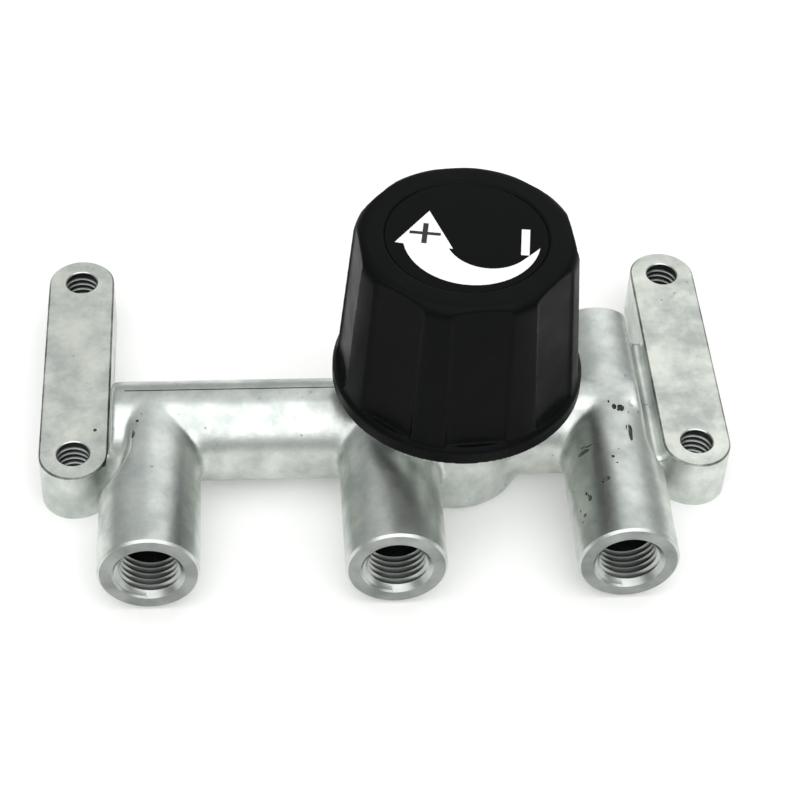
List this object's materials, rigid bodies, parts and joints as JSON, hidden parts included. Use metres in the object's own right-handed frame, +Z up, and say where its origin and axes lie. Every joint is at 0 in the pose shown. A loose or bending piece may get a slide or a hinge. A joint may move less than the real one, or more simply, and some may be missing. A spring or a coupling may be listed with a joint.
{
  "type": "air pressure regulator",
  "caption": "Cast manifold with drilled mounting bars and threaded ports, carrying a diaphragm air pressure regulator under a ribbed knob.",
  "frame": {"origin": "centre of the four bar holes, on the bars' underside", "axes": "+X along the gallery, +Y away from the front ports, +Z up the knob axis"},
  "size_m": [0.141, 0.0889, 0.0626],
  "materials": {
    "cast_aluminium": "as cast, machined faces",
    "brass": "turned",
    "nylon": "natural",
    "rubber": "moulded",
    "spring_steel": "drawn wire",
    "zinc_plated_steel": "bright plated",
    "cast_zinc": "die cast",
    "knob_plastic": "moulded, soft sheen",
    "label_print": "printed film"
  },
  "bodies": {
    "casting": {"manifold_body": "cast_aluminium", "seat_insert": "brass", "seat_washer": "nylon", "poppet_spring": "spring_steel", "diaphragm": "rubber", "slip_ring": "brass", "range_spring": "spring_steel", "bonnet": "cast_zinc", "thrust_washer": "nylon"},
    "knob": {"knob": "knob_plastic", "knob_label": "label_print", "knob_screw": "zinc_plated_steel", "adjusting_screw": "zinc_plated_steel", "retaining_clip": "spring_steel"},
    "nut": {"spring_nut": "brass", "spring_washer": "zinc_plated_steel"},
    "diaphragm_stack": {"diaphragm_plate": "zinc_plated_steel", "diaphragm_rivet": "brass", "relief_seat": "rubber"},
    "poppet": {"valve_poppet": "brass", "poppet_seal": "rubber"}
  },
  "joints": [
    {"name": "knob_turn", "type": "hinge", "parent": "casting", "child": "knob", "pos_m": [0.01375, -0.01825, 0.0445], "axis": [0, 0, -1], "range_deg": [0, 1350]},
    {"name": "nut_travel", "type": "slide", "parent": "casting", "child": "nut", "axis": [0, 0, -1], "range_m": [0, 0.00563], "deforming": ["range_spring"]},
    {"name": "diaphragm_stroke", "type": "slide", "parent": "casting", "child": "diaphragm_stack", "axis": [0, 0, -1], "range_m": [0, 0.001], "stiffness_N_per_m": 1500, "springref_m": -0.002, "deforming": ["diaphragm"]},
    {"name": "poppet_lift", "type": "slide", "parent": "casting", "child": "poppet", "axis": [0, 0, -1], "range_m": [0, 0.001], "deforming": ["poppet_spring"]}
  ],
  "couplings": [
    {"joint": "nut_travel", "follows": "knob_turn", "m_per_rad": 0.00023873},
    {"joint": "poppet_lift", "follows": "diaphragm_stroke", "ratio": 1}
  ]
}
